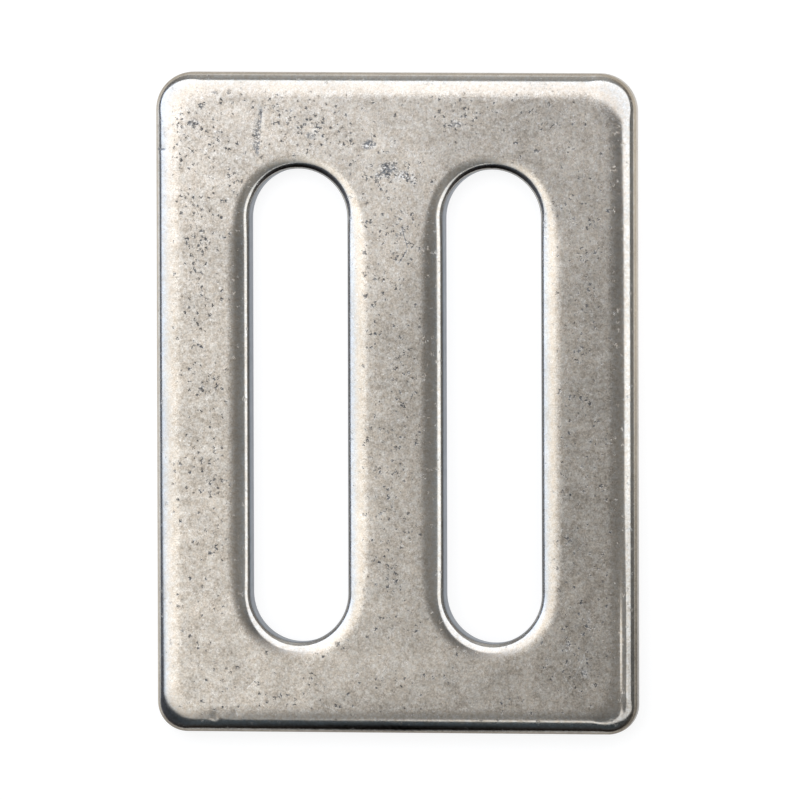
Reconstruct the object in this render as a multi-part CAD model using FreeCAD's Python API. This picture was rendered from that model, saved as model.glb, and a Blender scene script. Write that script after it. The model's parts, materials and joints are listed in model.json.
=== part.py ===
"""Two-slot webbing slider, stamped from stainless steel plate in one piece.

Millimetres. X runs across the slider, Y along the slots and Z through the plate. The origin is the centre of
the back face, so the slider lies on its back at z = 0 with its rolled-over face up.
"""

import FreeCAD, Part
import math
import os

# Driving dimensions
PLATE_LENGTH = 70.0  # along Y
PLATE_THICKNESS = 3.2
SLOT_WIDTH = 10.5
SLOT_LENGTH = 50.2  # end to end, for 50 mm webbing
CENTRE_BAR_WIDTH = 10.3  # between the two slots' walls
SIDE_BAR_WIDTH = 10.15  # from a slot's wall to the plate's edge
FAR_CORNER_RADIUS = 4.0  # the two corners at +Y
NEAR_CORNER_RADIUS = 3.2  # the two corners at -Y, which the die left a little sharper
SLOT_SHIFT = -0.3  # the slots' centre along Y: the bar at the +Y end is the wider one

# The face side is rolled over where the die sheared the plate: a quarter ellipse, wide and shallow.
# The outline keeps its corner radii from the roll's foot to its top, so the roll widens at the corners.
OUTER_ROLL_WIDTH = 3.1
OUTER_ROLL_DEPTH = 1.6
SLOT_ROLL_WIDTH = 2.7
SLOT_ROLL_DEPTH = 1.0

# The back is the burr side, tumbled until its edges are blunt
OUTER_BACK_RADIUS = 0.7
SLOT_BACK_RADIUS = 0.3

# Worked-out dimensions
PLATE_WIDTH = CENTRE_BAR_WIDTH + 2 * SIDE_BAR_WIDTH + 2 * SLOT_WIDTH
SLOT_OFFSET = (CENTRE_BAR_WIDTH + SLOT_WIDTH) / 2  # from the slider's centre line to a slot's
ROLL_FOOT = PLATE_THICKNESS - OUTER_ROLL_DEPTH  # where the outline's wall ends and its roll begins

TOOL_MARGIN = 0.5  # how far a cutting tool stands out of the metal
TOUCHING = 1e-6
QUARTER_WEIGHTS = (1.0, math.sqrt(0.5), 1.0)  # of a rational quadratic that makes an exact quarter turn

UP = FreeCAD.Vector(0, 0, 1)


def rounded_loop(centre_x, centre_y, width, length, far_radius, near_radius):
    """A rounded rectangle's corner arcs, anticlockwise from +X +Y, each as centre, start angle and radius."""
    corners = ((1, 1, far_radius), (-1, 1, far_radius), (-1, -1, near_radius), (1, -1, near_radius))
    arcs = []
    for quarter, (side_x, side_y, radius) in enumerate(corners):
        x = centre_x + side_x * (width / 2 - radius)
        y = centre_y + side_y * (length / 2 - radius)
        arcs.append((FreeCAD.Vector(x, y, 0), 90 * quarter, radius))
    return arcs


def outline(inset):
    """The plate's outline this far in from its edge, with the same corner radii at any inset."""
    width = PLATE_WIDTH - 2 * inset
    return rounded_loop(0, 0, width, PLATE_LENGTH - 2 * inset, FAR_CORNER_RADIUS, NEAR_CORNER_RADIUS)


def obround(centre_x):
    """A slot's loop, whose corner arcs meet in round ends."""
    end_radius = SLOT_WIDTH / 2
    return rounded_loop(centre_x, SLOT_SHIFT, SLOT_WIDTH, SLOT_LENGTH, end_radius, end_radius)


def direction(angle_deg):
    """The unit vector at this angle from +X in the XY plane."""
    return FreeCAD.Rotation(UP, angle_deg).multVec(FreeCAD.Vector(1, 0, 0))


def runs(loop):
    """For each corner arc, its first, middle and last points, and where the straight run after it ends."""
    for i, (centre, start, radius) in enumerate(loop):
        next_centre, next_start, next_radius = loop[(i + 1) % len(loop)]
        first, middle, last = (centre + direction(start + turn) * radius for turn in (0, 45, 90))
        yield first, middle, last, next_centre + direction(next_start) * next_radius


def loop_edges(loop):
    """The loop's arcs and straight runs in order, at z = 0."""
    edges = []
    for first, middle, last, run_end in runs(loop):
        edges.append(Part.Arc(first, middle, last).toShape())
        if (run_end - last).Length > TOUCHING:
            edges.append(Part.LineSegment(last, run_end).toShape())
    return edges


def prism(loop, bottom, top):
    """The loop's area as a solid from z = bottom to z = top."""
    solid = Part.Face(Part.Wire(loop_edges(loop))).extrude(UP * (top - bottom))
    solid.translate(UP * bottom)
    return solid


def corner_roll(centre, start, radius):
    """The roll at one corner of the outline: its arc, slid in and up a quarter ellipse without turning."""
    along, across = direction(start), direction(start + 90)
    inward = (along + across) * -OUTER_ROLL_WIDTH
    arc = [centre + along * radius, centre + (along + across) * radius, centre + across * radius]
    slide = [UP * ROLL_FOOT, UP * PLATE_THICKNESS, inward + UP * PLATE_THICKNESS]
    poles = [[point + step for step in slide] for point in arc]
    weights = [[a * b for b in QUARTER_WEIGHTS] for a in QUARTER_WEIGHTS]
    surface = Part.BSplineSurface()
    surface.buildFromPolesMultsKnots(poles, [3, 3], [3, 3], [0, 1], [0, 1], False, False, 2, 2, weights)
    return surface


def flat_face(loop, level):
    """The loop's area as a flat face at this height."""
    face = Part.Face(Part.Wire(loop_edges(loop)))
    face.translate(UP * level)
    return face


def rolled_cap():
    """The top of the blank as a solid: from the foot of the roll up to the flat of the face."""
    corners = [corner_roll(*arc) for arc in outline(0)]
    faces = [flat_face(outline(0), ROLL_FOOT), flat_face(outline(OUTER_ROLL_WIDTH), PLATE_THICKNESS)]
    for i, corner in enumerate(corners):
        following = corners[(i + 1) % len(corners)]
        faces.append(corner.toShape())
        faces.append(Part.makeRuledSurface(corner.uIso(1).toShape(), following.uIso(0).toShape()))
    shell = Part.makeShell(faces)
    shell.sewShape()
    cap = Part.makeSolid(shell)
    if not cap.isValid() or not cap.isClosed():
        raise ValueError("the rolled cap's faces don't close")
    if cap.Volume < 0:
        cap.reverse()
    return cap


def roll_profile(edge_point, into_metal):
    """What a slot's roll takes off at one point of its loop, as a face in the plane of into_metal and Z."""
    face_level = UP * PLATE_THICKNESS
    low = edge_point + face_level - UP * SLOT_ROLL_DEPTH
    inner = edge_point + into_metal * SLOT_ROLL_WIDTH + face_level
    over = inner + UP * TOOL_MARGIN
    corner = edge_point - into_metal * TOOL_MARGIN + face_level + UP * TOOL_MARGIN
    under = edge_point - into_metal * TOOL_MARGIN + face_level - UP * SLOT_ROLL_DEPTH
    ellipse = Part.Ellipse(low, inner, inner - UP * SLOT_ROLL_DEPTH)
    quarter = Part.ArcOfEllipse(ellipse, ellipse.parameter(low), ellipse.parameter(inner))
    if (quarter.StartPoint - low).Length > TOUCHING or (quarter.EndPoint - inner).Length > TOUCHING:
        raise ValueError("the roll's quarter ellipse doesn't run from the wall up to the face")
    sides = [(inner, over), (over, corner), (corner, under), (under, low)]
    edges = [quarter.toShape()] + [Part.LineSegment(a, b).toShape() for a, b in sides]
    return Part.Face(Part.Wire(edges))


def slot_roll_tool(loop):
    """The solid that rolls over a slot's edge all the way round."""
    pieces = []
    for (centre, start, _), (first, _, last, run_end) in zip(loop, runs(loop)):
        pieces.append(roll_profile(first, direction(start)).revolve(centre, UP, 90))
        if (run_end - last).Length > TOUCHING:
            pieces.append(roll_profile(last, direction(start + 90)).extrude(run_end - last))
    return pieces[0].multiFuse(pieces[1:]).removeSplitter()


def back_edges(solid, loop):
    """The solid's edges that lie in the back face along this loop, where z is 0."""
    rim = Part.Wire(loop_edges(loop))

    def on_rim(edge):
        middle = edge.valueAt(sum(edge.ParameterRange) / 2)
        points = [vertex.Point for vertex in edge.Vertexes] + [middle]
        return all(rim.distToShape(Part.Vertex(point))[0] < TOUCHING for point in points)

    return [edge for edge in solid.Edges if on_rim(edge)]


def slider_plate():
    """The whole stamping: blank with its rolled cap, two slots, and blunted back edges."""
    blank = prism(outline(0), 0, ROLL_FOOT)
    blank = blank.makeFillet(OUTER_BACK_RADIUS, back_edges(blank, outline(0)))
    plate = blank.fuse(rolled_cap())
    for side in (-1, 1):
        slot = obround(side * SLOT_OFFSET)
        plate = plate.cut(prism(slot, -TOOL_MARGIN, PLATE_THICKNESS + TOOL_MARGIN))
        plate = plate.makeFillet(SLOT_BACK_RADIUS, back_edges(plate, slot))
        plate = plate.cut(slot_roll_tool(slot))
    return plate.removeSplitter()


os.makedirs("parts", exist_ok=True)
shape = slider_plate()
box = shape.optimalBoundingBox(False, False)
print("valid", shape.isValid(), "solids", len(shape.Solids), "faces", len(shape.Faces))
print("size %.3f x %.3f x %.3f mm, volume %.1f mm3" % (box.XLength, box.YLength, box.ZLength, shape.Volume))
shape.exportStep("parts/slider_plate.step")
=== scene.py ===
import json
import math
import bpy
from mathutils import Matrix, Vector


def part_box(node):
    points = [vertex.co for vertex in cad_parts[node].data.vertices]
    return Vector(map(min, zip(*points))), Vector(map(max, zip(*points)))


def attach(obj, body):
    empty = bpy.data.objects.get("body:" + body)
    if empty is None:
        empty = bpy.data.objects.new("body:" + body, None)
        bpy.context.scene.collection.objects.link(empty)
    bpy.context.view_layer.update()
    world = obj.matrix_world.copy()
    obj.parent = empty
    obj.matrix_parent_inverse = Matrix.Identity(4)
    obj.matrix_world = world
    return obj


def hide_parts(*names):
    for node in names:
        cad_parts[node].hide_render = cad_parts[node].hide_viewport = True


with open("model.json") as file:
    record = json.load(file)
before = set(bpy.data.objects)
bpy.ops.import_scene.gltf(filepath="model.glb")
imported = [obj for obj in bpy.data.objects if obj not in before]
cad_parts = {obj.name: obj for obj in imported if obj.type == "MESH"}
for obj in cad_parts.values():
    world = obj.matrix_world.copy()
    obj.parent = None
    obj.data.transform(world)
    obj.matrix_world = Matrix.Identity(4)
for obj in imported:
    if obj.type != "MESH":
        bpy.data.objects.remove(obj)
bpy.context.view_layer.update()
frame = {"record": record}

# The two-slot webbing slider: its stamping as one dense mesh, its tumbled steel, and a small light tent.
# Everything is worked out in millimetres and made in metres.

from types import SimpleNamespace

import bpy
import numpy as np
from mathutils import Matrix, Vector, geometry, noise

MM = 0.001
NODE = "slider_plate"

# ---- The stamping's sizes ----------------------------------------------------------------------------------

low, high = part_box(NODE)
WIDTH, LENGTH, THICKNESS = (high - low) / MM
MOUNTS = {mount["name"]: mount for mount in frame["record"]["mounts"]}
SLOTS = [MOUNTS["left_webbing_slot"], MOUNTS["right_webbing_slot"]]

FAR_CORNER_RADIUS = 4.0
NEAR_CORNER_RADIUS = 3.2
OUTER_ROLL = (3.1, 1.6)  # width and depth of the quarter ellipse that the die rolled over
SLOT_ROLL = (2.7, 1.0)
OUTER_BACK_RADIUS = 0.7
SLOT_BACK_RADIUS = 0.3

LOOP_STEP = 0.3  # between points along a loop's straight runs
ARC_STEP_DEG = 3.0
ROLL_STEPS = 28
WALL_STEPS = 4
BACK_STEPS = 5
OUTER_DULL = (0.50, 0.28)  # how far up a roll, of its depth, the wall's dull finish starts and is full
SLOT_DULL = (0.40, 0.18)
SLOT_ROLL_START = 0.86  # of the roll's width: the face is flat beyond this, with a soft crease
OUTER_ROLL_START = 0.90
CREASE = 0.012
TIGHT_ENDS = (0.32, 0.18)  # how much narrower the roll is round a slot's +Y and -Y ends
TIGHT_START = 3.0  # how far before the slot's round end it starts to narrow
TIGHT_REACH = 5.0  # along Y, from where it starts to narrow to where it is narrowest
# Painted dark reflection: the steep of a roll that faces the near side is painted darker, standing in for the
# dark room reflected there
PAINTED_DARK_REFLECTION = 0.86  # how much darker the steep of a roll is where it faces the near side
# From the start of a roll (0) to the wall (1), how much of that painted darkness is there
PAINTED_DARK_REFLECTION_BAND = ((0.62, 0.74, 0.90, 0.95), (0.0, 1.0, 1.0, 0.0))
FACING_PROBE = 0.1  # how far into the metal an edge is probed for the way it faces
CROWN = 0.09  # how far the centre bar's face falls from its middle to the slots' walls
CROWN_END = 22.5  # how far along Y from the middle the crown has died out
CROWN_FADE = 9.0
FACE_GRID = 0.3  # between points on the flat of the face
BACK_GRID = 0.9
GRID_JITTER = 0.18  # of the grid's step
GRID_CLEARANCE = 0.55  # of the grid's step, between its points and the rings round the flat
MERGE_DISTANCE = 1e-5
SEED = 7


def ramp(value, start, end):
    """How far a value is from start to end, no less than 0 and no more than 1."""
    return min(1.0, max(0.0, (value - start) / (end - start)))


def smooth(share):
    """A share from 0 to 1, eased at both ends."""
    return share * share * (3 - 2 * share)


# ---- Edges: the outline and the two slots ------------------------------------------------------------------


class Edge:
    """One closed edge of the stamping. Its rings are rounded rectangles, each this far into the metal."""

    def __init__(self, centre, width, length, radii, metal_outside, roll, back_radius):
        self.centre = centre
        self.width = width
        self.length = length
        self.radii = radii
        self.metal_outside = metal_outside
        self.roll_width, self.roll_depth = roll
        self.back_radius = back_radius
        self.run_counts = [
            max(1, round((length - sum(radii)) / LOOP_STEP)),
            max(1, round((width - 2 * radii[0]) / LOOP_STEP)),
            max(1, round((length - sum(radii)) / LOOP_STEP)),
            max(1, round((width - 2 * radii[1]) / LOOP_STEP)),
        ]

    def loop_at(self, inset):
        """Centre, width, length and corner radii this far into the metal.

        A slot's rings are its shape made larger. The outline's keep its corner radii, so its roll widens
        at the corners.
        """
        grow = inset if self.metal_outside else -inset
        radii = [radius + grow for radius in self.radii] if self.metal_outside else self.radii
        return self.centre, self.width + 2 * grow, self.length + 2 * grow, radii

    def kept_width(self, edge_y):
        """How much of its width a slot's roll keeps beside these points of the edge: less round the ends."""
        start = self.length / 2 - self.radii[0] - TIGHT_START
        along = edge_y - self.centre[1]
        share = np.clip((np.abs(along) - start) / TIGHT_REACH, 0, 1)
        return 1 - np.where(along > 0, *TIGHT_ENDS) * smooth(share)

    def ring(self, inset):
        """The ring's points, anticlockwise. Every ring has as many, so that rings join up."""
        if not self.metal_outside:
            return self.even_ring(inset)
        edge = self.even_ring(0.0)
        return edge + (self.even_ring(inset) - edge) * self.kept_width(edge[:, 1])[:, None]

    def even_ring(self, inset):
        """The ring's points as they are where the roll is as wide all round."""
        centre, width, length, radii = self.loop_at(inset)
        far_radius, near_radius = radii
        corners = ((1, 1, far_radius), (-1, 1, far_radius), (-1, -1, near_radius), (1, -1, near_radius))
        angles = np.radians(np.arange(0, 90 + ARC_STEP_DEG / 2, ARC_STEP_DEG))
        arcs = []
        for quarter, (side_x, side_y, radius) in enumerate(corners):
            middle = (centre[0] + side_x * (width / 2 - radius), centre[1] + side_y * (length / 2 - radius))
            turned = angles + math.pi / 2 * quarter
            arcs.append(np.stack([np.cos(turned), np.sin(turned)], 1) * radius + middle)
        points = []
        for quarter, arc in enumerate(arcs):
            following = arcs[(quarter + 1) % 4][0]
            count = self.run_counts[(quarter + 1) % 4]
            share = np.arange(1, count)[:, None] / count
            points.append(arc if self.has_run(quarter) else arc[:-1])
            if self.has_run(quarter):
                points.append(arc[-1] + (following - arc[-1]) * share)
        return np.concatenate(points)

    def has_run(self, quarter):
        """True if a straight run follows this corner. A slot's two corners at each end meet."""
        return quarter % 2 == 1 or not self.metal_outside

    def distance(self, x, y, inset):
        """Signed distance from the ring at this inset: positive on its metal side."""
        centre, width, length, (far_radius, near_radius) = self.loop_at(0.0 if self.metal_outside else inset)
        radius = np.where(y > centre[1], far_radius, near_radius)
        over_x = np.abs(x - centre[0]) - (width / 2 - radius)
        over_y = np.abs(y - centre[1]) - (length / 2 - radius)
        outside = np.hypot(np.maximum(over_x, 0), np.maximum(over_y, 0))
        from_ring = outside + np.minimum(np.maximum(over_x, over_y), 0) - radius
        if not self.metal_outside:
            return -from_ring
        past_edge = np.maximum(over_y, 0) * (1 - radius / np.maximum(outside, radius))
        edge_y = y - np.sign(y - centre[1]) * past_edge
        return from_ring - inset * self.kept_width(edge_y)

    def creased(self, z):
        """The roll lifted a hair and cut off by the flat, with a soft crease between the two."""
        roll_start = SLOT_ROLL_START if self.metal_outside else OUTER_ROLL_START
        lift = self.roll_depth * (1 - math.sqrt(1 - (1 - roll_start) ** 2))
        over = z + lift - THICKNESS
        return THICKNESS + (over - math.sqrt(over * over + CREASE * CREASE)) / 2

    def profile(self):
        """(inset, z) of each ring: from the back face up the wall and over the roll to the face."""
        rows = []
        wall_top = THICKNESS - self.roll_depth
        for i in range(BACK_STEPS):
            angle = math.pi / 2 * i / BACK_STEPS
            rows.append((self.back_radius * (1 - math.sin(angle)), self.back_radius * (1 - math.cos(angle))))
        for i in range(WALL_STEPS):
            rows.append((0.0, self.back_radius + (wall_top - self.back_radius) * i / WALL_STEPS))
        for i in range(ROLL_STEPS + 1):
            angle = math.pi / 2 * i / ROLL_STEPS
            z = wall_top + self.roll_depth * math.sin(angle)
            rows.append((self.roll_width * (1 - math.cos(angle)), self.creased(z)))
        return rows


def make_edges():
    radii = (FAR_CORNER_RADIUS, NEAR_CORNER_RADIUS)
    edges = [Edge((0.0, 0.0), WIDTH, LENGTH, radii, False, OUTER_ROLL, OUTER_BACK_RADIUS)]
    for slot in SLOTS:
        centre = (slot["pos_m"][0] / MM, slot["pos_m"][1] / MM)
        end_radius = slot["dims"]["r_mm"]
        length = slot["dims"]["slot_length_mm"]
        radii = (end_radius, end_radius)
        edges.append(Edge(centre, 2 * end_radius, length, radii, True, SLOT_ROLL, SLOT_BACK_RADIUS))
    return edges


# ---- The mesh ----------------------------------------------------------------------------------------------


class Shell:
    """The stamping's points and faces as they are collected."""

    def __init__(self, edges):
        self.edges = edges
        self.points = []
        self.faces = []
        self.roll = []
        self.wall = []
        self.rim = []
        self.painted_dark_reflection = []
        self.back_rings = []
        self.face_rings = []

    def add_edge(self, edge):
        """An edge's back radius, wall and roll."""
        profile = edge.profile()
        start = len(self.points)
        lean = edge.ring(0.0) - edge.ring(FACING_PROBE)
        near = np.clip(-lean[:, 1] / np.hypot(lean[:, 0], lean[:, 1]), 0, 1)
        for inset, z in profile:
            ring = edge.ring(inset)
            self.points.extend((x, y, z) for x, y in ring)
            up_roll = (z - (THICKNESS - edge.roll_depth)) / edge.roll_depth
            dull_from, dull_to = SLOT_DULL if edge.metal_outside else OUTER_DULL
            dull = ramp(up_roll, dull_from, dull_to)
            self.roll.extend([1 - inset / edge.roll_width if up_roll > 0 else 1.0] * len(ring))
            self.wall.extend([dull if edge.metal_outside else 0.0] * len(ring))
            self.rim.extend([0.0 if edge.metal_outside else dull] * len(ring))
            # The painted dark reflection, strongest on the steep of a roll that faces the near side
            steep = np.interp(1 - inset / edge.roll_width, *PAINTED_DARK_REFLECTION_BAND) if up_roll > 0 else 0.0
            self.painted_dark_reflection.extend(near * near * steep)
        count = len(ring)
        for row in range(len(profile) - 1):
            for i in range(count):
                a = start + row * count + i
                b = start + row * count + (i + 1) % count
                quad = (a, b, b + count, a + count)
                self.faces.append(quad[::-1] if edge.metal_outside else quad)
        last = start + (len(profile) - 1) * count
        self.back_rings.append(list(range(start, start + count)))
        self.face_rings.append(list(range(last, last + count)))

    def add_flat(self, rings, insets, z, step, up):
        """Fills the flat between the rings with near-even triangles."""
        border = [i for ring in rings for i in ring]
        lines = []
        for ring in rings:
            first = len(lines)
            lines.extend((first + i, first + (i + 1) % len(ring)) for i in range(len(ring)))
        rng = np.random.default_rng(SEED)
        columns = np.arange(-WIDTH / 2, WIDTH / 2, step)
        rows = np.arange(-LENGTH / 2, LENGTH / 2, step * math.sqrt(3) / 2)
        grid_x, grid_y = np.meshgrid(columns, rows)
        grid_x[1::2] += step / 2
        grid_x = (grid_x + rng.uniform(-1, 1, grid_x.shape) * step * GRID_JITTER).ravel()
        grid_y = (grid_y + rng.uniform(-1, 1, grid_y.shape) * step * GRID_JITTER).ravel()
        keep = self.clearance(grid_x, grid_y, insets) > step * GRID_CLEARANCE
        flat = [Vector(self.points[i][:2]) for i in border]
        flat += [Vector(p) for p in zip(grid_x[keep], grid_y[keep])]
        places, _, triangles, origins, _, _ = geometry.delaunay_2d_cdt(flat, lines, [], 0, MERGE_DISTANCE)
        number = []
        for place, origin in zip(places, origins):
            if origin and origin[0] < len(border):
                number.append(border[origin[0]])
            else:
                number.append(len(self.points))
                self.points.append((place[0], place[1], z))
                self.roll.append(0.0)
                self.wall.append(0.0)
                self.rim.append(0.0)
                self.painted_dark_reflection.append(0.0)
        corners = np.array([tuple(place) for place in places])[np.array(triangles)]
        middle_x, middle_y = corners.mean(1).T
        for triangle, clear in zip(triangles, self.clearance(middle_x, middle_y, insets)):
            if clear > 0:
                face = [number[i] for i in triangle]
                self.faces.append(face if up else face[::-1])

    def clearance(self, x, y, insets):
        """How far plan points lie into the flat, from the nearest ring."""
        return np.min([edge.distance(x, y, inset) for edge, inset in zip(self.edges, insets)], axis=0)


def build_shell():
    edges = make_edges()
    shell = Shell(edges)
    for edge in edges:
        shell.add_edge(edge)
    shell.add_flat(shell.face_rings, [edge.roll_width for edge in edges], THICKNESS, FACE_GRID, up=True)
    shell.add_flat(shell.back_rings, [edge.back_radius for edge in edges], 0.0, BACK_GRID, up=False)
    return shell


def add_layer(mesh, name, values):
    """One number for each of the mesh's points, which the steel reads by this name."""
    layer = mesh.attributes.new(name, "FLOAT", "POINT")
    layer.data.foreach_set("value", values)


def make_plate():
    shell = build_shell()
    mesh = bpy.data.meshes.new("slider_stamping")
    points = [(x * MM, y * MM, worn_height(x, y, z) * MM) for x, y, z in shell.points]
    mesh.from_pydata(points, [], shell.faces)
    mesh.shade_smooth()
    add_layer(mesh, "roll", shell.roll)
    add_layer(mesh, "wall", shell.wall)
    add_layer(mesh, "rim", shell.rim)
    add_layer(mesh, "pitting", [pitting(*p) for p in shell.points])
    add_layer(mesh, "stain", [stain(*p) for p in shell.points])
    # On the sheared rim, painted shade darkens the patina's tone
    shades = [tone(*p) * (1 + rim * (rim_painted_shade(*p[:2]) - 1)) for p, rim in zip(shell.points, shell.rim)]
    # The tone layer: the patina's tone, darkened by the painted dark reflection on the near-facing rolls
    add_layer(mesh, "tone", [shade * (1 - PAINTED_DARK_REFLECTION * painted_dark_reflection) for shade, painted_dark_reflection in zip(shades, shell.painted_dark_reflection)])
    plate = bpy.data.objects.new("slider_stamping", mesh)
    bpy.context.scene.collection.objects.link(plate)
    return plate


# ---- Wear: the face's waves and dents, where it is pitted and stained, and the rim's painted shade ---------
# The noises below are read at a point in millimetres times a scale, each on a level of its own

WAVE = 0.012  # how deep the face's slow waves are
WAVE_SCALE = (0.16, 0.11)
WAVE_LEVEL = 3.0
RIPPLE = 0.0035  # the tumbling's shorter ripples
RIPPLE_SCALE = 0.9
RIPPLE_LEVEL = 8.0
FADED = 6  # the squared reach beyond which a dent has faded out
PIT_BASE = 0.13  # how pitted the face is outside the patches
PIT_DRIFT = (0.75, 0.9)  # the middle and the swing of the pitting's slow change
PIT_DRIFT_SCALE = 0.4
TONE_DRIFT = 0.07
TONE_DRIFT_SCALE = (0.35, 0.22)
TONE_LEVEL = 9
STAIN_BREAKS = 0.6  # the middle of the stains' change from point to point
STAIN_LEVEL = 5
# How much of its tone the sheared rim loses to painted shade at its near and far ends and down its right side
RIM_NEAR = 0.55
RIM_FAR = 0.2
RIM_RIGHT = 0.65

# Each dent: centre x, centre y, half-width, half-length, turn in degrees, depth
DENTS = [
    (-14.45, 28.8, 0.28, 2.3, -5, 0.03), (-19.3, -33.3, 0.35, 0.7, 0, 0.1),
    (-17.1, -32.9, 0.3, 0.5, 20, 0.05), (-25.2, 26.8, 0.7, 0.35, 0, 0.06),
    (-15.6, -30.0, 0.3, 1.3, -45, 0.02), (24.42, -25.5, 0.23, 9.0, 0, 0.062),
    (0.6, 24.4, 1.5, 0.8, 15, 0.025), (-2.8, 27.3, 1.0, 0.6, 30, 0.025), (-7.1, -32.3, 0.3, 0.8, 60, 0.03),
    (19.2, -27.5, 0.5, 0.9, -30, 0.02), (20.6, -29.3, 0.4, 0.8, 40, 0.02), (7.6, 30.4, 0.9, 0.5, 0, 0.015),
]
# Each patch: centre x, centre y, half-width, half-length, strength
PIT_PATCHES = [
    (-20.8, 28.3, 3.2, 3.2, 0.8), (-10.3, 29.6, 4.5, 2.2, 0.9), (-4.6, 27.6, 2.0, 1.6, 0.9),
    (7.5, 30.5, 2.2, 2.0, 0.9), (0.0, 24.5, 2.6, 1.8, 1.0), (0.3, 17.5, 2.4, 5.0, 0.9),
    (0.6, 3.0, 2.4, 9.0, 0.55), (0.0, -14.0, 2.2, 9.0, 0.4), (-21.0, 12.0, 2.2, 9.0, 0.4),
    (-20.5, -8.0, 2.2, 10.0, 0.38), (15.0, 30.0, 4.0, 2.0, 0.5), (20.5, 22.0, 2.5, 6.0, 0.35),
    (19.5, -26.5, 2.6, 4.5, 0.5), (20.6, -5.0, 2.2, 13.0, 0.4), (20.4, 12.0, 2.2, 9.0, 0.4),
    (3.0, -31.0, 9.0, 1.6, 0.12), (-12.0, -30.5, 6.0, 1.8, 0.12), (-16.5, 24.5, 1.4, 3.0, 0.4),
    (-20.6, 19.5, 2.2, 3.5, 0.55),
]
STAIN_PATCHES = [
    (-0.5, 24.7, 0.9, 0.9, 1.0), (1.4, 24.2, 1.0, 0.8, 1.0), (-2.7, 27.3, 0.9, 0.7, 1.0),
    (-1.6, 24.2, 0.5, 0.4, 0.6), (-14.7, 29.0, 0.35, 1.6, 0.8), (-14.9, 26.9, 0.3, 0.7, 0.8),
    (6.6, 29.6, 0.8, 0.5, 0.8), (-1.3, 30.0, 0.7, 0.5, 0.7), (-21.5, 29.6, 1.0, 0.6, 0.5),
    (-9.0, 28.3, 1.0, 0.5, 0.5), (18.7, -26.3, 0.6, 1.4, 0.7), (20.4, -28.6, 0.5, 1.0, 0.8),
    (20.8, -22.5, 0.4, 1.8, 0.5), (-11.0, 28.9, 1.2, 0.5, 0.5),
]
# Broad lighter and darker areas of the patina
TONE_PATCHES = [
    (0.0, 24.0, 7.0, 9.0, 0.15), (0.0, 16.0, 4.5, 6.0, 0.09), (0.0, 1.0, 5.0, 8.0, -0.07),
    (21.0, -14.0, 5.0, 16.0, -0.11), (-20.0, -27.0, 7.0, 8.0, 0.04), (-20.5, -8.0, 5.0, 12.0, -0.05),
    (0.0, -11.0, 4.5, 4.5, 0.1), (0.0, -28.0, 6.0, 2.5, 0.14), (0.0, -32.2, 8.0, 1.6, -0.14),
    (20.0, 22.5, 5.0, 6.0, 0.13), (20.5, -29.0, 4.0, 3.0, -0.08), (-21.0, 12.0, 4.0, 10.0, -0.06),
    (-9.0, 30.0, 9.0, 3.0, 0.04), (20.0, 14.0, 4.0, 5.0, 0.03), (14.0, -30.5, 7.0, 2.5, -0.03),
    (0.5, -23.0, 4.0, 4.0, 0.05),
]


def worn_height(x, y, z):
    """The height of a point of the stamping, once the face side is crowned, rippled and dented."""
    depth = max(0.0, (z - THICKNESS / 2) / (THICKNESS / 2))
    if depth == 0:
        return z
    half_bar = SLOTS[1]["pos_m"][0] / MM - SLOTS[1]["dims"]["r_mm"]
    share = ramp(abs(y), CROWN_END, CROWN_END - CROWN_FADE) if abs(x) < half_bar else 0.0
    sag = CROWN * (x / half_bar) ** 2 * smooth(share)
    wave_x, wave_y = WAVE_SCALE
    sag += WAVE * (0.5 + 0.5 * noise.noise(Vector((x * wave_x, y * wave_y, WAVE_LEVEL))))
    sag += RIPPLE * (0.5 + 0.5 * noise.noise(Vector((x * RIPPLE_SCALE, y * RIPPLE_SCALE, RIPPLE_LEVEL))))
    for centre_x, centre_y, half_width, half_length, turn, deep in DENTS:
        turned = math.radians(turn)
        across = (x - centre_x) * math.cos(turned) + (y - centre_y) * math.sin(turned)
        along = (y - centre_y) * math.cos(turned) - (x - centre_x) * math.sin(turned)
        reach = (across / half_width) ** 2 + (along / half_length) ** 2
        if reach < FADED:
            sag += deep * math.exp(-reach)
    return z - sag * depth


def patches(x, y, table):
    """The table's patches added up at this point."""
    total = 0.0
    for centre_x, centre_y, half_width, half_length, strength in table:
        reach = ((x - centre_x) / half_width) ** 2 + ((y - centre_y) / half_length) ** 2
        total += strength * math.exp(-reach)
    return total


def pitting(x, y, z):
    """How pitted the surface is at this point, up to 1."""
    middle, swing = PIT_DRIFT
    drift = middle + swing * noise.noise(Vector((x * PIT_DRIFT_SCALE, y * PIT_DRIFT_SCALE, z)))
    return min(1.0, (PIT_BASE + patches(x, y, PIT_PATCHES)) * drift)


def stain(x, y, z):
    """How stained the surface is at this point, up to 1."""
    drift = STAIN_BREAKS + noise.noise(Vector((x, y, z + STAIN_LEVEL)))
    return min(1.0, patches(x, y, STAIN_PATCHES) * drift)


def tone(x, y, z):
    """How light the patina is at this point, about 1."""
    scale_x, scale_y = TONE_DRIFT_SCALE
    drift = TONE_DRIFT * noise.noise(Vector((x * scale_x, y * scale_y, z + TONE_LEVEL)))
    return 1.0 + drift + patches(x, y, TONE_PATCHES)


def rim_painted_shade(x, y):
    """The same for the sheared rim, with painted shade: darker at both ends and down its right side."""
    right = ramp(x, 22, 25) * ramp(y, 10, -26)
    near = ramp(y, -32, -34)
    far = ramp(y, 32, 34)
    return 1.0 - max(RIM_RIGHT * right, RIM_NEAR * near, RIM_FAR * far)


# ---- Steel -------------------------------------------------------------------------------------------------

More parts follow.
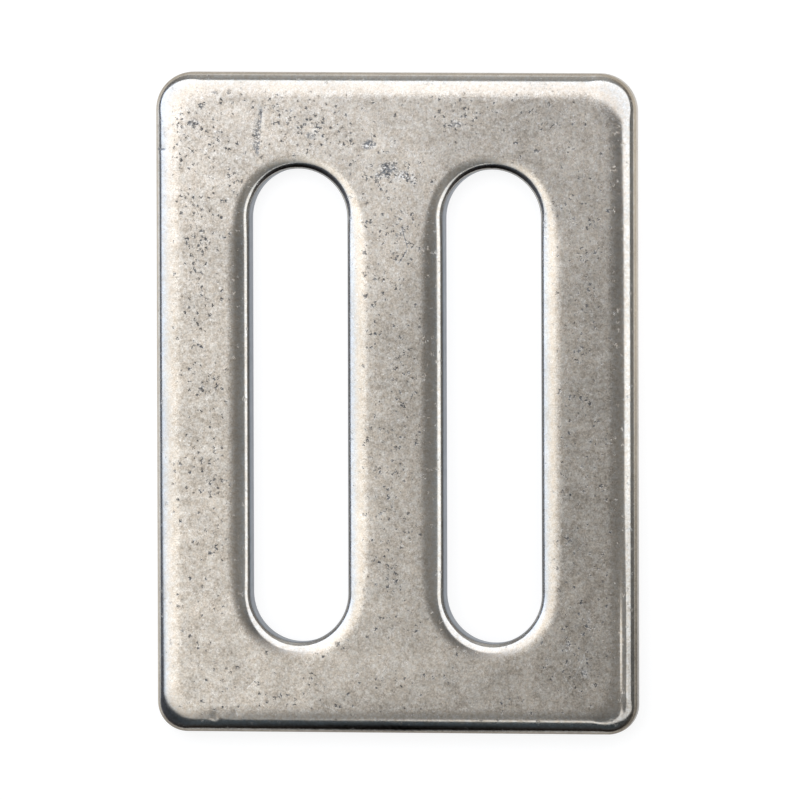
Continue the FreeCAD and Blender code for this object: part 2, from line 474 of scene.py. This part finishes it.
# Linear colours
CLEAN_WARM = (0.70, 0.641, 0.567, 1)
CLEAN_GREY = (0.65, 0.60, 0.535, 1)
MOTTLE_BROWN = (0.60, 0.545, 0.47, 1)
TINT_WARM = (1.03, 1.0, 0.965, 1)  # the tints multiply the clean metal's colour
TINT_COOL = (0.97, 1.0, 1.035, 1)
STAIN_GREY = (0.13, 0.15, 0.18, 1)
PAINTED_GLINT_WHITE = (0.92, 0.91, 0.89, 1)
# The sheared rim's brown is a painted reflection of the warm, shaded floor beside it
RIM_PAINTED_REFLECTION = (0.43, 0.375, 0.30, 1)
WALL_GREY = (0.172, 0.194, 0.224, 1)
# A dark line painted at the foot of the slots' rolls, standing in for the dark reflection there
PAINTED_FOOT_DARK = (0.05, 0.05, 0.05, 1)
PIT_GREY = (0.08, 0.09, 0.105, 1)

RAGGED_SCALE = 2.6  # of a pit's cell: how fine its ragged outline is
RAGGED_REACH = 1.5  # in cells: how far the raggedness moves it
SMALLEST_PIT = 0.4  # of the largest pit's radius
PIT_FLOOR = 0.4  # of a pit's radius: its flat bottom


class Tree:
    """Short calls for the nodes that the steel and the lights are made of."""

    def __init__(self, tree):
        self.tree = tree

    def node(self, kind, inputs=None, **settings):
        node = self.tree.nodes.new(kind)
        for name, value in settings.items():
            setattr(node, name, value)
        for name, value in (inputs or {}).items():
            self.feed(node.inputs[name], value)
        return node

    def feed(self, socket, value):
        if isinstance(value, bpy.types.NodeSocket):
            self.tree.links.new(value, socket)
        else:
            socket.default_value = value

    def math(self, operation, *values, clamp=False):
        node = self.node("ShaderNodeMath", operation=operation, use_clamp=clamp)
        for socket, value in zip(node.inputs, values):
            self.feed(socket, value)
        return node.outputs[0]

    def attribute(self, name):
        return self.node("ShaderNodeAttribute", attribute_name=name).outputs["Fac"]

    def noise(self, place, scale, detail=2.0, roughness=0.5, offset=0.0):
        where = shifted(self, place, offset)
        inputs = {"Vector": where, "Scale": scale, "Detail": detail, "Roughness": roughness}
        return self.node("ShaderNodeTexNoise", inputs).outputs["Fac"]

    def remap(self, value, low, high, to_low=0.0, to_high=1.0, smooth=True):
        inputs = {"Value": value, "From Min": low, "From Max": high, "To Min": to_low, "To Max": to_high}
        kind = "SMOOTHSTEP" if smooth else "LINEAR"
        return self.node("ShaderNodeMapRange", inputs, interpolation_type=kind).outputs["Result"]

    def curve(self, value, start, end, points):
        """A colour ramp through points, each the value there and its level or colour."""
        ramp = self.node("ShaderNodeValToRGB")
        self.feed(ramp.inputs["Fac"], self.remap(value, start, end, smooth=False))
        elements = ramp.color_ramp.elements
        while len(elements) < len(points):
            elements.new(0.5)
        for element, (at, level) in zip(elements, points):
            element.position = (at - start) / (end - start)
            element.color = (*level, 1) if isinstance(level, tuple) else (level, level, level, 1)
        return ramp.outputs["Color"]

    def mix(self, share, first, second):
        node = self.node("ShaderNodeMix", data_type="RGBA")
        self.feed(node.inputs[0], share)
        self.feed(node.inputs[6], first)
        self.feed(node.inputs[7], second)
        return node.outputs[2]

    def product(self, first, second):
        """Two colours multiplied."""
        return self.node("ShaderNodeVectorMath", {0: first, 1: second}, operation="MULTIPLY").outputs[0]


def shifted(tree, place, offset):
    """The place moved by the same offset along all three axes, for a pattern of its own."""
    inputs = {0: place, 1: (offset, offset, offset)}
    return tree.node("ShaderNodeVectorMath", inputs, operation="ADD").outputs[0]


def pits(tree, place, per_mm, radius, share, pitting, offset):
    """Ragged pits, 1 at their middles. share is how many cells hold one where the face is fully pitted."""
    where = shifted(tree, place, offset)
    inputs = {"Vector": where, "Scale": per_mm * RAGGED_SCALE, "Detail": 2.0}
    wobble = tree.node("ShaderNodeTexNoise", inputs).outputs["Color"]
    inputs = {0: wobble, 1: (RAGGED_REACH / per_mm,) * 3, 2: where}
    moved = tree.node("ShaderNodeVectorMath", inputs, operation="MULTIPLY_ADD").outputs[0]
    cells = tree.node("ShaderNodeTexVoronoi", {"Vector": moved, "Scale": per_mm})
    chance = tree.node("ShaderNodeSeparateColor", {0: cells.outputs["Color"]})
    smallest = radius * per_mm * SMALLEST_PIT
    reach = tree.math("MULTIPLY_ADD", chance.outputs["Green"], radius * per_mm - smallest, smallest)
    ratio = tree.math("DIVIDE", cells.outputs["Distance"], reach)
    bowl = tree.remap(ratio, 1.0, PIT_FLOOR)
    present = tree.math("LESS_THAN", chance.outputs["Red"], tree.math("MULTIPLY", pitting, share))
    return tree.math("MULTIPLY", bowl, present)


# Each scratch: centre x, centre y, half-width, half-length, turn in degrees, how broken up it is
DARK_SCRATCHES = [
    (-14.45, 28.8, 0.26, 2.8, -5, 0.53), (1.15, 17.6, 0.07, 1.3, 16, 0.35), (1.0, 15.6, 0.07, 0.9, -32, 0.35),
    (-25.1, 26.8, 0.6, 0.10, 0, 0.35),
]
BRIGHT_SCRATCHES = [
    (-15.6, -30.0, 0.055, 1.2, -45, 0.45), (-7.1, -32.3, 0.055, 0.8, 60, 0.42),
    (-17.1, -32.9, 0.07, 0.5, 20, 0.3), (19.9, -27.6, 0.08, 1.2, -25, 0.45),
    (18.6, -29.4, 0.06, 0.9, 35, 0.45),
]


def scratches(tree, place, table, breaks):
    """1 along each scratch in the table, broken up by the noise in breaks."""
    total = 0.0
    for centre_x, centre_y, half_width, half_length, turn, broken in table:
        rotation = (0, 0, math.radians(turn))
        inputs = {"Vector": place, "Location": (centre_x, centre_y, 0), "Rotation": rotation}
        local = tree.node("ShaderNodeMapping", inputs, vector_type="TEXTURE").outputs[0]
        split = tree.node("ShaderNodeSeparateXYZ", {0: local})
        across = tree.math("DIVIDE", tree.math("ABSOLUTE", split.outputs["X"]), half_width)
        along = tree.math("DIVIDE", tree.math("ABSOLUTE", split.outputs["Y"]), half_length)
        line = tree.math("MULTIPLY", tree.remap(across, 1.0, 0.5), tree.remap(along, 1.0, 0.8))
        line = tree.math("MULTIPLY", line, tree.remap(breaks, broken - 0.1, broken))
        total = tree.math("MAXIMUM", total, line)
    return total


# Painted reflection tint over a roll, not a temper colour of the steel: from its start on the face (0) to the
# wall (1), blue, then tan
PAINTED_ROLL_TINT = [
    (0.52, (1.0, 1.0, 1.0)), (0.72, (0.945, 1.0, 1.07)), (0.92, (0.95, 1.0, 1.065)), (0.965, (1.0, 1.0, 1.0)),
    (1.0, (1.06, 1.0, 0.87)),
]


def wear_masks(tree, place):
    """The mesh's layers and the patterns that the steel's colour, gloss and relief share."""
    masks = SimpleNamespace()
    for name in ("roll", "wall", "rim", "pitting", "stain", "tone"):
        setattr(masks, name, tree.attribute(name))
    masks.flat = tree.math("SUBTRACT", 1.0, tree.remap(masks.roll, 0.10, 0.55))
    masks.mottle = tree.noise(place, 0.9, 4.0, 0.6, 17.0)
    masks.grain = tree.noise(place, 4.6, 3.0, 0.75, 41.0)
    masks.crumbs = tree.noise(place, 3.6, 3.0, 0.75, 59.0)

    small_pits = pits(tree, place, 2.3, 0.225, 0.80, masks.pitting, 0.0)
    large_pits = pits(tree, place, 1.3, 0.33, 0.36, masks.pitting, 31.0)
    pit = tree.math("MAXIMUM", small_pits, large_pits)
    masks.pit = tree.math("MULTIPLY", pit, tree.math("MULTIPLY_ADD", masks.flat, 0.8, 0.2))

    masks.stain_zone = tree.remap(masks.stain, 0.1, 0.6)
    scratch = scratches(tree, place, DARK_SCRATCHES, masks.crumbs)
    stained = tree.math("MULTIPLY", masks.stain_zone, tree.remap(masks.crumbs, 0.46, 0.53))
    masks.stained = tree.math("MAXIMUM", stained, tree.math("MULTIPLY", scratch, 0.8))
    return masks


def clean_metal(tree, place, masks):
    """The colour of the unworn patina: two warm greys, mottled with brown and finely tinted."""
    broad = tree.noise(place, 0.14, 3.0, 0.6, 3.0)
    clean = tree.mix(tree.remap(broad, 0.35, 0.65), CLEAN_WARM, CLEAN_GREY)
    clean = tree.mix(tree.remap(masks.mottle, 0.3, 0.7, 0.0, 0.5), clean, MOTTLE_BROWN)
    tinted = tree.mix(tree.remap(masks.tint, 0.3, 0.7), TINT_WARM, TINT_COOL)
    return tree.product(clean, tinted)


def glints(tree, place, masks):
    """Painted highlights: white painted beside the stains, at small sparks, and along the bright scratches,
    which are partly the scratches' own bright metal.
    """
    scratch = scratches(tree, place, BRIGHT_SCRATCHES, masks.crumbs)
    sparks = pits(tree, place, 2.1, 0.17, 0.75, masks.pitting, 57.0)
    glint = tree.math("MULTIPLY", masks.stain_zone, tree.remap(masks.crumbs, 0.455, 0.40))
    glint = tree.math("MAXIMUM", glint, tree.math("MULTIPLY", scratch, 0.6))
    return tree.math("MAXIMUM", glint, tree.math("MULTIPLY", sparks, 0.7))


def speckled_tone(tree, place, masks):
    """What the colour is multiplied by: the layer of broad tones, which also holds the rim's painted shade
    and the painted dark reflection on the near-facing rolls, with speckle at four sizes.
    """
    dust = tree.noise(place, 8.0, 1.0, 0.6, 73.0)
    cloud = tree.noise(place, 0.42, 2.0, 0.55, 23.0)
    speckle = 0.0
    for pattern, strength in ((masks.grain, 1.3), (dust, 0.8), (masks.tint, 1.0), (cloud, 0.55)):
        speckle = tree.math("MULTIPLY_ADD", tree.math("ADD", pattern, -0.5), strength, speckle)
    speckle = tree.math("MULTIPLY", speckle, tree.math("MULTIPLY_ADD", masks.flat, 0.65, 0.35))
    return tree.math("ADD", speckle, masks.tone)


def steel_colour(tree, place, masks):
    """The base colour: the patina, what wear has done to it, and the sheared rim and walls, with painted
    highlights, a painted tint over the rolls, a painted reflection on the rim and a painted dark line at the
    foot of the slots' rolls.
    """
    masks.tint = tree.noise(place, 2.2, 2.0, 0.6, 97.0)
    colour = clean_metal(tree, place, masks)
    colour = tree.mix(tree.math("MULTIPLY", masks.stained, 0.85), colour, STAIN_GREY)
    # Painted highlights: white glints mixed into the base colour
    colour = tree.mix(glints(tree, place, masks), colour, PAINTED_GLINT_WHITE)
    # The rolls take a painted reflection tint, blue then tan
    colour = tree.product(colour, tree.curve(masks.roll, 0.0, 1.0, PAINTED_ROLL_TINT))
    # Painted reflection: the sheared rim takes the brown of the shaded floor that it would reflect
    colour = tree.mix(masks.rim, colour, RIM_PAINTED_REFLECTION)
    colour = tree.mix(masks.wall, colour, WALL_GREY)
    # Painted dark reflection: a black line halfway through the change from roll to dull wall
    half_wall = tree.math("ABSOLUTE", tree.math("MULTIPLY_ADD", masks.wall, 2.0, -1.0))
    foot_line = tree.math("SUBTRACT", 1.0, half_wall)
    colour = tree.mix(tree.math("MULTIPLY", foot_line, 0.6), colour, PAINTED_FOOT_DARK)
    colour = tree.mix(tree.math("MULTIPLY", masks.pit, 0.85), colour, PIT_GREY)
    inputs = {0: colour, "Scale": speckled_tone(tree, place, masks)}
    return tree.node("ShaderNodeVectorMath", inputs, operation="SCALE").outputs[0]


def steel_roughness(tree, masks):
    """Satin on the flat, glossy on the rolls, dull on the walls and the rim and in pits and stains."""
    satin = tree.remap(masks.mottle, 0.3, 0.7, 0.25, 0.32, smooth=False)
    rough = tree.math("MULTIPLY_ADD", masks.flat, 0.15, tree.math("ADD", satin, -0.15))
    rough = tree.math("MULTIPLY_ADD", masks.wall, 0.25, rough)
    rough = tree.math("MULTIPLY_ADD", masks.rim, 0.12, rough)
    rough = tree.math("MULTIPLY_ADD", masks.pit, 0.25, rough)
    return tree.math("MULTIPLY_ADD", masks.stained, 0.12, rough, clamp=True)


def steel_relief(tree, masks):
    """The bump of the grain, the mottling, the stains' etching and the pits, with heights in millimetres."""
    height = tree.math("MULTIPLY", masks.grain, tree.math("MULTIPLY_ADD", masks.flat, 0.0105, 0.0010))
    height = tree.math("MULTIPLY_ADD", masks.mottle, 0.004, height)
    height = tree.math("MULTIPLY_ADD", masks.stained, -0.020, height)
    height = tree.math("MULTIPLY_ADD", masks.pit, -0.036, height)
    return tree.node("ShaderNodeBump", {"Height": height, "Distance": MM, "Strength": 1.0}).outputs[0]


def steel_material():
    """Tumbled stainless: warm grey, satin on the flat, burnished on the rolls, dull on the sheared walls."""
    material = bpy.data.materials.new("tumbled_steel")
    material.use_nodes = True
    tree = Tree(material.node_tree)
    shader = material.node_tree.nodes["Principled BSDF"]
    shader.inputs["Metallic"].default_value = 1.0
    metres = tree.node("ShaderNodeTexCoord").outputs["Object"]
    place = tree.node("ShaderNodeVectorMath", {0: metres, "Scale": 1 / MM}, operation="SCALE").outputs[0]
    masks = wear_masks(tree, place)
    tree.feed(shader.inputs["Base Color"], steel_colour(tree, place, masks))
    tree.feed(shader.inputs["Roughness"], steel_roughness(tree, masks))
    tree.feed(shader.inputs["Normal"], steel_relief(tree, masks))
    return material


# ---- Studio ------------------------------------------------------------------------------------------------

TENT_HEIGHT = 0.15  # metres, like all of the studio's sizes
TENT_X = (-0.55, 0.29)
TENT_Y = (-0.168, 0.25)
BORDER_X = 0.128  # where the roof's bright border starts: on the right, far and near sides
BORDER_FAR = 0.058
BORDER_NEAR = 0.149
BORDER_SOFT = (0.92, 1.08)  # how far out its soft edge is, of those
BORDER_ROUNDNESS = 1.6
BORDER_LEVEL = (1.42, 1.42, 1.42, 1)
WHITE = (1.0, 1.0, 1.0, 1)
# How bright the roof is: at each x or y, a level
NEAR_BORDER = [(-0.05, 0.4), (-0.038, 0.7), (-0.028, 1.2), (-0.01, 1.6), (0.05, 1.45)]
LEVEL_ACROSS = [
    (-0.25, 1.50), (-0.10, 1.50), (-0.062, 1.43), (-0.052, 1.12), (-0.030, 0.77), (-0.013, 0.465),
    (-0.001, 0.39), (0.014, 0.25), (0.25, 0.25),
]
LEVEL_ALONG = [
    (-0.25, 0.50), (-0.17, 0.50), (-0.155, 0.42), (-0.143, 0.34), (-0.11, 0.42), (-0.08, 0.66),
    (-0.035, 0.93), (-0.012, 0.88), (0.004, 0.90), (0.025, 1.10),
]
RIGHT_SHADE = [(-0.04, 1.32), (-0.02, 1.15), (0.0, 1.0), (0.012, 0.68), (0.03, 0.5)]
# The unlit corner's edge: at each x, how far on the near side of the middle it lies
CORNER_EDGE = [(-0.45, 0.05), (-0.235, 0.09), (-0.12, 0.125), (-0.06, 0.165), (-0.04, 0.19)]
CORNER_SOFT = 0.02
# The roof's colour: at each x, a colour
ROOF_COLOURS = [
    (-0.45, (0.88, 0.97, 1.12)), (-0.20, (0.94, 0.99, 1.06)), (-0.14, (0.995, 1.0, 1.01)),
    (-0.09, (1.01, 1.0, 0.98)), (-0.05, (1.0, 1.0, 1.0)),
]
FAR_COOL = (0.985, 1.0, 1.045, 1)

# The room's brightness in each direction, which fades away from it by its power
ROOM_BASE = 0.010
ROOM_LEFT = 0.17
ROOM_RIGHT = 0.25
ROOM_FAR = 0.55
ROOM_FADE = 3.0
NEAR_GLOW = (0.03, 0.15)  # of the near side: down at the floor and higher up
NEAR_FADE = 2.0
ROOM_BROWN = (1.3, 0.9, 0.6, 1)
ROOM_BLUE = (0.8, 1.02, 1.2, 1)
ROOM_COOL = (0.84, 0.95, 1.2, 1)
ROOM_NEUTRAL = (1.0, 1.0, 0.98, 1)

FLOOR_REACH = 4.0
FLOOR_GREY = (0.3, 0.3, 0.3, 1)
FLOOR_GLOW = 0.82  # keeps the floor pale where the tent leaves it dark

CAMERA_LEAN_DEG = (10.0, 3.0)  # to the right and to the far side
CAMERA_DISTANCE = 3.0
CAMERA_AIM = (0.34, 0.31)  # mm from the stamping's centre
PIXELS_PER_MM = 9.445
PICTURE_WIDTH = 800
CAMERA_SLANT = 0.28  # of the turn that would set the stamping's far edge level
SENSOR_WIDTH = 36.0
CLIP_END = 10


def bright_border(tree, x, y):
    """How far a point of the roof is into its bright border, and how bright the border is there.

    The border runs along the far and right sides, and more weakly along the near side.
    """
    right = tree.math("DIVIDE", tree.math("MAXIMUM", x, 0.0), BORDER_X)
    far = tree.math("DIVIDE", tree.math("MAXIMUM", y, 0.0), BORDER_FAR)
    near = tree.math("DIVIDE", tree.math("MINIMUM", y, 0.0), BORDER_NEAR)
    diagonal = [tree.math("POWER", side, BORDER_ROUNDNESS) for side in (right, far)]
    diagonal = tree.math("POWER", tree.math("ADD", *diagonal), 2 / BORDER_ROUNDNESS)
    reach = tree.math("SQRT", tree.math("MULTIPLY_ADD", near, near, diagonal))
    near_level = tree.curve(x, -0.1, 0.1, NEAR_BORDER)
    level = tree.mix(tree.remap(y, -0.05, 0.03), near_level, BORDER_LEVEL)
    return tree.math("MULTIPLY", tree.remap(reach, *BORDER_SOFT), level)


def dark_corner(tree, x, y):
    """0 in the roof's unlit corner, at the left end of its near side, and 1 elsewhere."""
    edge = tree.curve(x, -0.5, 0.0, CORNER_EDGE)
    return tree.remap(tree.math("ADD", y, edge), 0.0, CORNER_SOFT)


def roof_level(tree, x, y):
    """How bright the roof is at a point: brightest on the left, falling off to the right."""
    across = tree.curve(x, -0.25, 0.25, LEVEL_ACROSS)
    along = tree.curve(y, -0.25, 0.25, LEVEL_ALONG)
    shade = tree.mix(tree.remap(x, 0.0, 0.03), WHITE, tree.curve(y, -0.05, 0.05, RIGHT_SHADE))
    level = tree.math("MULTIPLY", tree.math("MULTIPLY", across, along), shade)
    level = tree.math("MAXIMUM", level, bright_border(tree, x, y))
    return tree.math("MULTIPLY", level, dark_corner(tree, x, y))


def make_tent():
    """The lit roof close over the slider, one area light whose brightness changes across it."""
    size_x = TENT_X[1] - TENT_X[0]
    size_y = TENT_Y[1] - TENT_Y[0]
    data = bpy.data.lights.new("tent_roof", "AREA")
    data.shape = "RECTANGLE"
    data.size = size_x
    data.size_y = size_y
    data.energy = math.pi * size_x * size_y
    data.use_nodes = True
    tree = Tree(data.node_tree)
    split = tree.node("ShaderNodeSeparateXYZ", {0: tree.node("ShaderNodeNewGeometry").outputs["Position"]})
    x, y = split.outputs["X"], split.outputs["Y"]
    emission = data.node_tree.nodes["Emission"]
    tree.feed(emission.inputs["Strength"], roof_level(tree, x, y))
    cool = tree.mix(tree.remap(y, 0.006, 0.022), WHITE, FAR_COOL)
    tree.feed(emission.inputs["Color"], tree.product(tree.curve(x, -0.5, 0.0, ROOF_COLOURS), cool))
    light = bpy.data.objects.new("tent_roof", data)
    light.location = (sum(TENT_X) / 2, sum(TENT_Y) / 2, TENT_HEIGHT)
    bpy.context.scene.collection.objects.link(light)


def make_world():
    """The room beyond the tent: dim, blue high up and brown near the floor, and darkest on the near side."""
    world = bpy.data.worlds.new("room")
    bpy.context.scene.world = world
    world.use_nodes = True
    tree = Tree(world.node_tree)
    background = world.node_tree.nodes["Background"]
    place = tree.node("ShaderNodeTexCoord").outputs["Generated"]
    split = tree.node("ShaderNodeSeparateXYZ", {0: place})
    x, y, z = (split.outputs[axis] for axis in "XYZ")
    left = tree.math("MAXIMUM", tree.math("MULTIPLY", x, -1.0), 0.0)
    right = tree.math("MAXIMUM", x, 0.0)
    far = tree.math("MAXIMUM", y, 0.0)
    near = tree.math("MAXIMUM", tree.math("MULTIPLY", y, -1.0), 0.0)
    glow = tree.remap(z, 0.22, 0.50, *NEAR_GLOW)
    level = tree.math("MULTIPLY_ADD", tree.math("POWER", near, NEAR_FADE), glow, ROOM_BASE)
    for side, strength in ((left, ROOM_LEFT), (right, ROOM_RIGHT), (far, ROOM_FAR)):
        level = tree.math("MULTIPLY_ADD", tree.math("POWER", side, ROOM_FADE), strength, level)
    tree.feed(background.inputs["Strength"], level)
    colour = tree.mix(tree.remap(z, 0.05, 0.6), ROOM_BROWN, ROOM_BLUE)
    colour = tree.mix(left, colour, ROOM_COOL)
    colour = tree.mix(tree.math("MAXIMUM", far, right), colour, ROOM_NEUTRAL)
    tree.feed(background.inputs["Color"], colour)


def make_floor():
    mesh = bpy.data.meshes.new("floor")
    corners = [(-1, -1), (1, -1), (1, 1), (-1, 1)]
    mesh.from_pydata([(x * FLOOR_REACH, y * FLOOR_REACH, 0) for x, y in corners], [], [(0, 1, 2, 3)])
    floor = bpy.data.objects.new("floor", mesh)
    bpy.context.scene.collection.objects.link(floor)
    material = bpy.data.materials.new("pale_floor")
    material.use_nodes = True
    shader = material.node_tree.nodes["Principled BSDF"]
    shader.inputs["Base Color"].default_value = FLOOR_GREY
    shader.inputs["Roughness"].default_value = 1.0
    shader.inputs["Specular IOR Level"].default_value = 0.0
    shader.inputs["Emission Color"].default_value = WHITE
    shader.inputs["Emission Strength"].default_value = FLOOR_GLOW
    mesh.materials.append(material)


def make_camera():
    """Almost overhead, from far off, leaning to the right and far side, so the left and near walls show."""
    lean_x, lean_y = (math.tan(math.radians(lean)) for lean in CAMERA_LEAN_DEG)
    data = bpy.data.cameras.new("camera")
    data.sensor_width = SENSOR_WIDTH
    data.lens = SENSOR_WIDTH / PICTURE_WIDTH * PIXELS_PER_MM * CAMERA_DISTANCE / MM
    data.clip_end = CLIP_END
    camera = bpy.data.objects.new("camera", data)
    target = (low + high) / 2 + Vector((*CAMERA_AIM, 0)) * MM
    back = Vector((lean_x, lean_y, 1)).normalized()
    camera.location = target + back * CAMERA_DISTANCE
    camera.rotation_mode = "QUATERNION"
    right = Vector((0, 1, 0)).cross(back).normalized()
    up = back.cross(right)
    slant = lean_x * lean_y * CAMERA_SLANT
    right, up = (right - up * slant).normalized(), (up + right * slant).normalized()
    camera.rotation_quaternion = Matrix((right, up, back)).transposed().to_quaternion()
    bpy.context.scene.collection.objects.link(camera)
    bpy.context.scene.camera = camera


plate = make_plate()
plate.data.materials.append(steel_material())
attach(plate, "root")
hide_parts(NODE)
make_floor()
make_tent()
make_world()
make_camera()
bpy.context.scene.view_settings.view_transform = "Standard"
